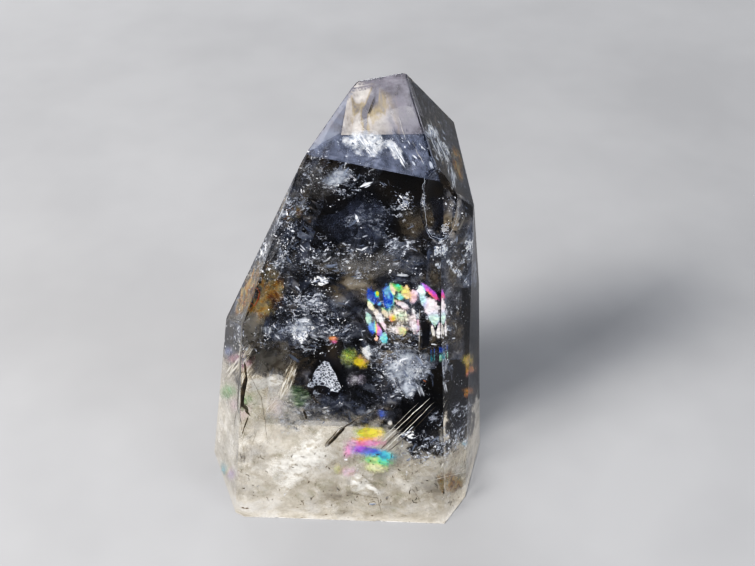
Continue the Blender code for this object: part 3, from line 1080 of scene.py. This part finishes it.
LEFT_SPOTS = {
    "blue tint": ((228, 351), (5.0, 4.0), 0, 0.76, 0.40, 0.9),
    "red tint": ((235, 358), (7.0, 3.5), -15, 0.56, 0.35, 0.9),
    "green tint": ((227, 391), (8.0, 6.0), 0, 0.32, 0.15, 0.9),
    "pink tint": ((234, 405), (3.5, 6.0), 0, 0.57, 0.55, 0.8),
    "warm glow": ((254, 404), (7.0, 13.0), 10, 0.37, 0.55, 0.7),
    "second pink": ((276, 407), (7.0, 8.0), 0, 0.54, 0.70, 0.6),
    "foot cyan": ((223.5, 469), (4.0, 5.0), 0, 0.18, 0.15, 1.1),
    "foot violet": ((231, 474), (4.0, 5.0), 0, 0.66, 0.25, 1.0),
}
LEFT_SHEET = ((216, 340), (290, 340), (290, 488), (216, 488), 0.10)
SPOT_EDGE = 0.9
SPOT_STEPS = 70
LEAST_FILM = 0.08


def rainbow_sheet(placed, spots, seed):
    """A cracked sheet whose points know their film's colour, how pale it is and how much there is."""
    part = sheet(placed, rumple=0.015, steps=SPOT_STEPS, seed=seed)
    film, pale, plenty = (part.verts.layers.float.new(name) for name in ("film", "pale", "plenty"))
    s_layer, t_layer = part.verts.layers.float["part_across"], part.verts.layers.float["part_down"]
    top_left, top_right, bottom_right, bottom_left = (Vector(corner) for corner in placed[:4])
    for vertex in part.verts:
        s, t = vertex[s_layer], vertex[t_layer]
        pixel = top_left.lerp(top_right, s).lerp(bottom_left.lerp(bottom_right, s), t)
        total = film_sum = pale_sum = most = 0.0
        for middle, reach, turn, colour_place, washed, strength in spots.values():
            away = pixel - Vector(middle)
            angle = math.radians(turn)
            across = (away.x * math.cos(angle) + away.y * math.sin(angle)) / reach[0]
            down = (away.y * math.cos(angle) - away.x * math.sin(angle)) / reach[1]
            weight = strength * math.exp(-SPOT_EDGE * (across**2 + down**2))
            total += weight**2
            film_sum += colour_place * weight**2
            pale_sum += washed * weight**2
            most = max(most, weight)
        vertex[film] = film_sum / max(total, 1e-12)
        vertex[pale] = pale_sum / max(total, 1e-12)
        vertex[plenty] = most
    empty = [face for face in part.faces if max(corner[plenty] for corner in face.verts) < LEAST_FILM]
    bmesh.ops.delete(part, geom=empty, context="FACES")
    return part


def rainbow_material(name, wander, cuts, low, high, most, bright):
    material = new_material(name)
    streak = streaks(material, 1.5)
    shard, shard_tone = shards(material, 1.7, spot(material, 0.7, (1.0, 1.0, 1.5)))
    drift = maths(material, "SUBTRACT", noise(material, 0.40, 6.0, 0.6, warp=0.8), 0.5)
    thickness = maths(material, "MULTIPLY_ADD", drift, wander, known(material, "film"))
    thickness = maths(
        material, "MULTIPLY_ADD", maths(material, "SUBTRACT", shard, 0.5), wander * 0.12, thickness
    )
    colour = ramp(material, maths(material, "PINGPONG", thickness, 1.0), RAINBOW)
    white = maths(material, "MULTIPLY_ADD", drift, 1.2, known(material, "pale"))
    colour = mixed(material, ranged(material, white, 0.0, 1.0), colour, CRACK_WHITE)
    fine = noise(material, 2.5, 4.0, 0.7)
    grain = maths(material, "MULTIPLY_ADD", shard_tone, 0.5, maths(material, "MULTIPLY", fine, 0.8))
    dim = ranged(material, grain, 0.2, 0.85, bright * 0.40, bright)
    colour = add_node(
        material, "ShaderNodeVectorMath", {0: colour, "Scale": dim}, operation="SCALE"
    ).outputs[0]
    there = maths(
        material, "MULTIPLY_ADD", maths(material, "SUBTRACT", streak, 0.5), cuts, known(material, "plenty")
    )
    there = maths(material, "MULTIPLY_ADD", drift, cuts, there)
    there = maths(material, "MULTIPLY_ADD", maths(material, "SUBTRACT", fine, 0.5), cuts * 0.8, there)
    return inner_shader(
        material, colour, ranged(material, there, low, high, 0.0, most), rough=0.25, shine=0.6
    )


sharp_parts = [rainbow_sheet(RAINBOW_SHEET, RAINBOW_SPOTS, 61.0)]
soft_parts = [
    rainbow_sheet(LONE_SHEET, LONE_SPOTS, 62.0),
    rainbow_sheet(EDGE_SHEET, EDGE_SPOTS, 63.0),
    rainbow_sheet(RIGHT_SHEET, RIGHT_SPOTS, 64.0),
    rainbow_sheet(BOW_SHEET, BOW_SPOTS, 65.0),
]
tint_parts = [rainbow_sheet(LEFT_SHEET, LEFT_SPOTS, 66.0)]
sharp_rainbow = rainbow_material("rainbow crack", 0.45, 1.2, 0.30, 0.66, 0.96, 1.0)
soft_rainbow = rainbow_material("soft rainbow", 0.26, 0.8, 0.12, 0.80, 0.90, 0.78)
colour_tint = rainbow_material("colour tint", 0.15, 0.4, 0.05, 1.40, 0.75, 0.6)
add_inner("rainbow_cracks", joined("rainbow_cracks", sharp_parts), sharp_rainbow)
add_inner("soft_rainbows", joined("soft_rainbows", soft_parts), soft_rainbow)
add_inner("colour_tints", joined("colour_tints", tint_parts), colour_tint)

# The iron stains.
# Rust that has crept into cracks at the left shoulder and near the right edge.
IRON_SHEETS = {
    "left shoulder": ((236, 260), (284, 262), (284, 320), (226, 322), 0.14),
    "right slope": ((449, 140), (461, 150), (466, 186), (454, 178), 0.025),
    "tan patch": ((280, 202), (304, 204), (302, 222), (282, 222), 0.24),
    "low gold": ((440, 470), (462, 468), (464, 492), (444, 494), 0.14),
}
IRON_DARK = (0.13, 0.055, 0.015, 1.0)
IRON_ORANGE = (0.30, 0.16, 0.035, 1.0)
IRON_YELLOW = (0.27, 0.22, 0.11, 1.0)
IRON_GREY = (0.12, 0.11, 0.10, 1.0)
iron_stops = [(0.38, IRON_DARK), (0.45, IRON_ORANGE), (0.54, IRON_YELLOW), (0.62, IRON_GREY)]
iron_material = bloom("iron stain", iron_stops, 0.22, 0.56, 0.85, per_mm=0.55, rim=0.24)
add_sheets("iron_stains", IRON_SHEETS, iron_material, rounded=True, rumple=0.05, steps=16)
PANE_BROWN = (0.085, 0.070, 0.048, 1.0)
PANE_DARK = (0.030, 0.027, 0.024, 1.0)
brown_stops = [(0.40, PANE_DARK), (0.60, PANE_BROWN)]
brown_pane = bloom("brown pane", brown_stops, 0.20, 0.62, 0.85, per_mm=0.40, rim=0.45)
BROWN_PANE = ((394, 198), (428, 200), (430, 248), (396, 248), 0.30)
add_sheets("brown_pane", {"pane": BROWN_PANE}, brown_pane, rounded=True)

# The needles, slivers and lines.
# Dark needle-shaped gaps, fine broken cracks, rods, ticks and the bright line round the hollow, each a
# slender tapered thread. Some dark threads are painted shadows beside the rods and painted shade along the
# right slope's edge and the slot, and the pale slot line is a painted highlight. A thread has its points in
# pixels, how deep it is, and its thickness in millimetres at its start and end.
NEEDLE_DARK = (0.012, 0.010, 0.007, 1.0)
NEEDLE_BROWN = (0.050, 0.036, 0.020, 1.0)
DARK_THREADS = {
    "needle": ([(246.5, 375), (243, 392), (239.5, 414)], 0.10, 0.62, 0.74),
    "needle stem": ([(244.5, 362), (246, 376)], 0.10, 0.24, 0.40),
    "needle tip": ([(236.5, 411), (233.3, 430)], 0.10, 0.32, 0.10),
    "needle fork": ([(230, 426), (228, 440)], 0.10, 0.05, 0.10),
    "long crack": ([(247, 370), (254, 383), (261, 397), (265, 421), (267.7, 444)], 0.08, 0.07, 0.07),
    "short crack": ([(257, 429), (252.5, 444)], 0.08, 0.03, 0.06),
    "dart": ([(326, 447), (333, 438), (344, 427)], 0.10, 0.80, 0.95),
    "dart shaft": ([(343, 428), (358, 418), (381, 408)], 0.10, 0.34, 0.06),
    "low edge": ([(350, 493), (364, 496), (378, 498), (382, 513)], 0.08, 0.06, 0.08),
    "right foot crack": ([(412, 488), (416, 495), (421, 503)], 0.08, 0.05, 0.07),
    "cap slit": ([(375, 96), (372, 104), (368, 114)], 0.04, 0.03, 0.20),
    # Painted shade: a dark line along the facet edge at the slot.
    "slot edge": ([(420.4, 309), (420.6, 330), (420.4, 352)], 0.10, 0.08, 0.08),
    # Painted shadows of the rods, as dark threads beside them.
    "rod shadow": ([(381, 449), (404, 427), (430, 402)], 0.16, 0.30, 0.20),
    "rod shadow two": ([(386, 453), (410, 433), (436, 406)], 0.16, 0.20, 0.14),
    "brown drop": ([(303.5, 410.5), (306.5, 419)], 0.10, 0.50, 0.30),
    "maroon streak": ([(311, 396), (321, 405)], 0.12, 0.26, 0.16),
    # Painted shade along the edge of the right slope.
    "edge shade": ([(409.5, 80), (415, 97), (424, 120)], 0.02, 0.14, 0.10),
}
PALE_THREADS = {
    "rod one": ([(378, 447), (402, 424), (430, 398)], 0.15, 0.12, 0.16),
    "rod two": ([(383, 451), (407, 429), (434, 402)], 0.15, 0.14, 0.12),
    "rod three": ([(374, 445), (394, 427), (418, 403)], 0.16, 0.06, 0.07),
    "edge line": ([(430, 481), (448, 476), (470, 471)], 0.08, 0.04, 0.08),
    # Painted highlight: a pale line along the facet edge at the slot.
    "slot light": ([(419.2, 309), (419.4, 330), (419.2, 352)], 0.10, 0.08, 0.06),
    "cap scratch one": ([(398, 116), (402, 128), (406, 140)], 0.03, 0.02, 0.05),
    "cap scratch two": ([(412, 140), (417, 152), (424, 164)], 0.03, 0.02, 0.06),
    "cap scratch three": ([(358, 120), (362, 128), (371, 134)], 0.03, 0.03, 0.04),
    "gold V left": ([(444, 470), (448, 461), (451, 452)], 0.08, 0.05, 0.16),
    "gold V right": ([(456, 466), (453, 459), (450, 450)], 0.08, 0.05, 0.12),
}
RIM_THREADS = {
    "left": ([(424.5, 176), (424, 192), (424.6, 210), (427, 228)], 0.015, 0.04, 0.04),
    "foot": ([(427, 228), (432, 236), (440, 239), (448, 237), (454, 228)], 0.015, 0.05, 0.04),
    "right": ([(454, 228), (458, 214), (458, 198)], 0.015, 0.04, 0.03),
}
RED_THREADS = {
    "squiggle": ([(251, 289), (257, 288), (260, 293), (258, 300), (254, 306), (250, 302)], 0.12, 0.16, 0.20),
    "red dot": ([(423, 380), (426, 382)], 0.14, 0.24, 0.20),
    "lower stain": ([(244, 300), (247, 308)], 0.12, 0.12, 0.10),
}
RIM_BLUE = (0.50, 0.58, 0.72, 1.0)
RIM_WHITE = (0.88, 0.92, 1.0, 1.0)
PALE_LINE = (0.34, 0.31, 0.26, 1.0)
PALE_BRIGHT = (0.72, 0.71, 0.68, 1.0)
RED_RUST = (0.16, 0.030, 0.008, 1.0)
RED_BROWN = (0.20, 0.075, 0.02, 1.0)
THREAD_SIDES = 6
THREAD_POINTS = 7
THREAD_LOWEST = 0.4 * MM
TICK_SEED = 23
TICK_COUNT = 130
TICK_FIELD = ((232, 452), (462, 506))
TICK_LONG = 7.0
TICK_THICK = 0.13
TICK_SHARES = (0.03, 0.12)


def thread(route, share, start_thick, end_thick):
    """A tapered thread through the given pixels, inside the quartz."""
    made = bmesh.new()
    pixels = [Vector(point) for point in route]
    rings = []
    last = THREAD_POINTS * (len(pixels) - 1)
    for step in range(last + 1):
        leg, part = divmod(step, THREAD_POINTS)
        pixel = pixels[leg] if part == 0 else pixels[leg].lerp(pixels[leg + 1], part / THREAD_POINTS)
        wave = mathutils_noise(Vector((pixel.x * 0.12, pixel.y * 0.12, 7.0)))
        found = inside(pixel.x + wave * 0.8, pixel.y, share)
        if found is None or found[0].z < THREAD_LOWEST:
            continue
        done = step / last
        ends = 1.0 - 0.85 * abs(2 * done - 1) ** 6
        radius = (start_thick + (end_thick - start_thick) * done) / 2 * MM * ends
        side = found[1].orthogonal().normalized()
        other = found[1].cross(side)
        turns = [math.tau * corner / THREAD_SIDES for corner in range(THREAD_SIDES)]
        rings.append([
            made.verts.new(
                found[0] + (side * math.cos(turn) + other * math.sin(turn)) * radius
            ) for turn in turns
        ])
    for ring, following in zip(rings, rings[1:]):
        bmesh.ops.bridge_loops(made, edges=loop_edges(made, ring) + loop_edges(made, following))
    return made


def loop_edges(made, ring):
    pairs = zip(ring, ring[1:] + ring[:1])
    return [made.edges.get(pair) or made.edges.new(pair) for pair in pairs]


def thread_material(name, first, second, rough):
    material = new_material(name)
    colour = ramp(material, noise(material, 1.5, 4.0), [(0.40, first), (0.60, second)])
    return inner_shader(material, colour, 1.0, rough=rough, shine=0.5)


def base_ticks():
    """Short dark curved ticks scattered over the foot."""
    random = random_numbers(TICK_SEED)
    (left, top), (right, bottom) = TICK_FIELD
    ticks = []
    for tick in range(TICK_COUNT):
        start = Vector((random.uniform(left, right), random.uniform(top, bottom)))
        way = random.uniform(0.0, math.tau)
        long = TICK_LONG * random.random() ** 2 + 0.8
        middle = start + Vector((math.cos(way), math.sin(way))) * long / 2
        end = middle + Vector((math.cos(way + 0.7), math.sin(way + 0.7))) * long / 2
        thick = TICK_THICK * random.uniform(0.5, 1.5)
        ticks.append(thread([start, middle, end], random.uniform(*TICK_SHARES), thick, thick * 0.6))
    return ticks


dark_threads = joined("dark_needles", [thread(*placed) for placed in DARK_THREADS.values()] + base_ticks())
pale_threads = joined("pale_rods", [thread(*placed) for placed in PALE_THREADS.values()])
rim_threads = joined("hollow_rim", [thread(*placed) for placed in RIM_THREADS.values()])
red_threads = joined("rust_threads", [thread(*placed) for placed in RED_THREADS.values()])
add_inner("dark_needles", dark_threads, thread_material("dark needle", NEEDLE_DARK, NEEDLE_BROWN, 0.35))
add_inner("pale_rods", pale_threads, thread_material("pale rod", PALE_LINE, PALE_BRIGHT, 0.3))
add_inner("hollow_rim", rim_threads, thread_material("hollow rim", RIM_BLUE, RIM_WHITE, 0.3))
add_inner("rust_threads", red_threads, thread_material("rust thread", RED_RUST, RED_BROWN, 0.5))

# The sparkling flakes.
# Thousands of tiny flat gaps and chips in the healed cracks, which catch the light like snow.
FLAKE_SEED = 11
FLAKE_CORNERS = 5
CLUMP_FLAKES = 16
FLAKE_INSET = 0.3 * MM
REAR_CLUMPS = 260
REAR_CLUMP_FLAKES = 22
REAR_FLAKE_SIZE = 0.075
REAR_ACROSS = (-20.0 * MM, 20.0 * MM)
REAR_HEIGHTS = (6.0 * MM, 60.0 * MM)
FLAKE_DARK = (0.06, 0.065, 0.085, 1.0)
FLAKE_MID = (0.24, 0.27, 0.34, 1.0)
FLAKE_BRIGHT = (0.95, 0.96, 1.0, 1.0)
# Each cloud has its middle and half size in pixels, its turn in degrees, how deep it is and how far it
# spreads as shares of the way through, its count, and its flakes' size in millimetres.
CLOUDS = {
    "cap foot": ((362, 143), (22, 8), 5, 0.022, 0.006, 500, 0.08),
    # Painted highlights: the flakes just under the right slope.
    "right slope": ((437, 145), (6, 28), -30, 0.022, 0.004, 420, 0.07),
    "in the hollow": ((450, 203), (4, 8), 20, 0.02, 0.005, 140, 0.06),
    "upper cloud": ((337, 178), (19, 11), -20, 0.22, 0.05, 600, 0.10),
    "upper left": ((312, 172), (15, 26), 25, 0.30, 0.10, 500, 0.08),
    "upper right patch": ((404, 200), (8, 8), 0, 0.28, 0.04, 260, 0.08),
    "dark clear zone": ((360, 215), (72, 42), 0, 0.42, 0.20, 1100, 0.045),
    "left slope": ((276, 240), (26, 66), 28, 0.24, 0.12, 2200, 0.06),
    "speckled band": ((350, 262), (90, 18), 4, 0.30, 0.10, 2000, 0.055),
    "sparkle field": ((312, 320), (54, 38), 10, 0.26, 0.12, 4200, 0.06),
    "core right": ((400, 330), (42, 44), 0, 0.36, 0.12, 1200, 0.055),
    "over the rainbow": ((404, 312), (40, 36), 20, 0.09, 0.03, 900, 0.035),
    "white cloud": ((402, 370), (34, 18), 10, 0.20, 0.05, 2200, 0.06),
    "right high": ((461, 240), (13, 45), 0, 0.24, 0.10, 800, 0.06),
    "right": ((461, 330), (14, 80), 0, 0.26, 0.10, 500, 0.05),
    "left": ((250, 335), (28, 22), 20, 0.22, 0.08, 900, 0.07),
    "low middle": ((335, 400), (72, 26), -8, 0.32, 0.12, 1100, 0.055),
    "low right": ((420, 446), (28, 18), 0, 0.28, 0.10, 800, 0.06),
    "foot": ((340, 480), (105, 36), 0, 0.40, 0.20, 500, 0.05),
}


def flake_cloud(cloud, random):
    """The flakes of a cloud, each with its corners and how bright it is. A clump's flakes lie much alike."""
    centre, reach, turn, share, depth_spread, count, size = cloud
    cosine, sine = math.cos(math.radians(turn)), math.sin(math.radians(turn))
    flakes = []
    for clump in range(count // CLUMP_FLAKES):
        radius = math.sqrt(random.random()) * (0.6 + 0.4 * random.random())
        angle = random.uniform(0.0, math.tau)
        along, beside = reach[0] * radius * math.cos(angle), reach[1] * radius * math.sin(angle)
        clump_at = centre[0] + along * cosine - beside * sine, centre[1] + along * sine + beside * cosine
        clump_share = random.gauss(share, depth_spread)
        clump_size = random.expovariate(1.0) * 3.5 + 0.8
        clump_flat = random.uniform(0.10, 0.7)
        clump_turn = random.uniform(0.0, math.tau)
        clump_shade = random.random() ** 1.5
        clump_facing = Vector((random.gauss(0, 0.5), random.gauss(0, 0.5), random.gauss(0, 0.5)))
        for flake in range(random.randint(CLUMP_FLAKES // 3, CLUMP_FLAKES * 5 // 3)):
            long_way, wide_way = random.gauss(0, clump_size), random.gauss(0, clump_size * clump_flat)
            found = inside(
                clump_at[0] + long_way * math.cos(clump_turn) - wide_way * math.sin(clump_turn),
                clump_at[1] + long_way * math.sin(clump_turn) + wide_way * math.cos(clump_turn),
                random.gauss(clump_share, 0.012),
            )
            if found is None or found[0].z < FLAKE_INSET:
                continue
            place, way = found
            tilt = Vector((random.gauss(0, 0.25), random.gauss(0, 0.25), random.gauss(0, 0.25)))
            shade = min(max(clump_shade * 0.7 + random.random() ** 3 * 0.6, 0.0), 1.0)
            flakes.append((one_flake(place, (clump_facing + tilt - way).normalized(), size, random), shade))
    return flakes


def rear_flakes(random):
    """Clumps of flakes between the painted dark backing and the back of the crystal."""
    flakes = []
    for clump in range(REAR_CLUMPS):
        start = Vector((random.uniform(*REAR_ACROSS), CURTAIN_BACK, random.uniform(*REAR_HEIGHTS)))
        inner = Vector((0.0, CURTAIN_BACK, start.z))
        side = surface.ray_cast(inner, Vector((math.copysign(1.0, start.x), 0.0, 0.0)))[0]
        if abs(start.x) > abs(side.x) - CURTAIN_INSET:
            continue
        rear = surface.ray_cast(start, Vector((0.0, 1.0, 0.0)))[0]
        share, spread, shade = random.uniform(0.2, 0.9), random.uniform(0.3, 2.0) * MM, random.random() ** 1.5
        for flake in range(REAR_CLUMP_FLAKES):
            shift = Vector((random.gauss(0, spread), 0.0, random.gauss(0, spread)))
            place = start.lerp(rear, min(share + random.gauss(0, 0.02), 0.97)) + shift
            near = surface.find_nearest(place)
            if near[0] is None or (place - near[0]).dot(near[1]) > -FLAKE_INSET:
                continue
            facing = Vector((random.gauss(0, 0.4), 1.0, random.gauss(0, 0.4))).normalized()
            bright = min(shade * 0.7 + random.random() ** 3 * 0.6, 1.0)
            flakes.append((one_flake(place, facing, REAR_FLAKE_SIZE, random), bright))
    return flakes


def one_flake(place, facing, size, random):
    first = facing.orthogonal().normalized()
    lean = random.uniform(0.0, math.tau)
    axis_one = first * math.cos(lean) + facing.cross(first) * math.sin(lean)
    axis_two = facing.cross(axis_one)
    scale = size * math.exp(random.gauss(-0.30, 0.55)) * MM
    long, wide = scale * random.uniform(0.9, 1.9), scale * random.uniform(0.3, 0.8)
    corners = []
    for corner in range(FLAKE_CORNERS):
        turned = math.tau * (corner + random.uniform(-0.3, 0.3)) / FLAKE_CORNERS
        corners.append(place + axis_one * long * math.cos(turned) + axis_two * wide * math.sin(turned))
    return corners


def flake_mesh(name, flakes):
    data = bpy.data.meshes.new(name)
    points = [corner for corners, shade in flakes for corner in corners]
    faces = [range(start, start + FLAKE_CORNERS) for start in range(0, len(points), FLAKE_CORNERS)]
    data.from_pydata(points, [], faces)
    shades = data.attributes.new("shade", "FLOAT", "FACE")
    shades.data.foreach_set("value", [shade for corners, shade in flakes])
    return data


def flake_material():
    material = new_material("sparkling flake")
    shade = known(material, "shade")
    colour = ramp(material, shade, [(0.0, FLAKE_DARK), (0.40, FLAKE_MID), (0.85, FLAKE_BRIGHT)])
    cover = ranged(material, noise(material, 6.0, 2.0), 0.25, 0.45, 0.35, 1.0)
    return inner_shader(material, colour, cover, rough=0.2, shine=0.8)


flake_random = random_numbers(FLAKE_SEED)
all_flakes = rear_flakes(flake_random)
for cloud in CLOUDS.values():
    all_flakes += flake_cloud(cloud, flake_random)
add_inner("sparkling_flakes", flake_mesh("sparkling_flakes", all_flakes), flake_material())
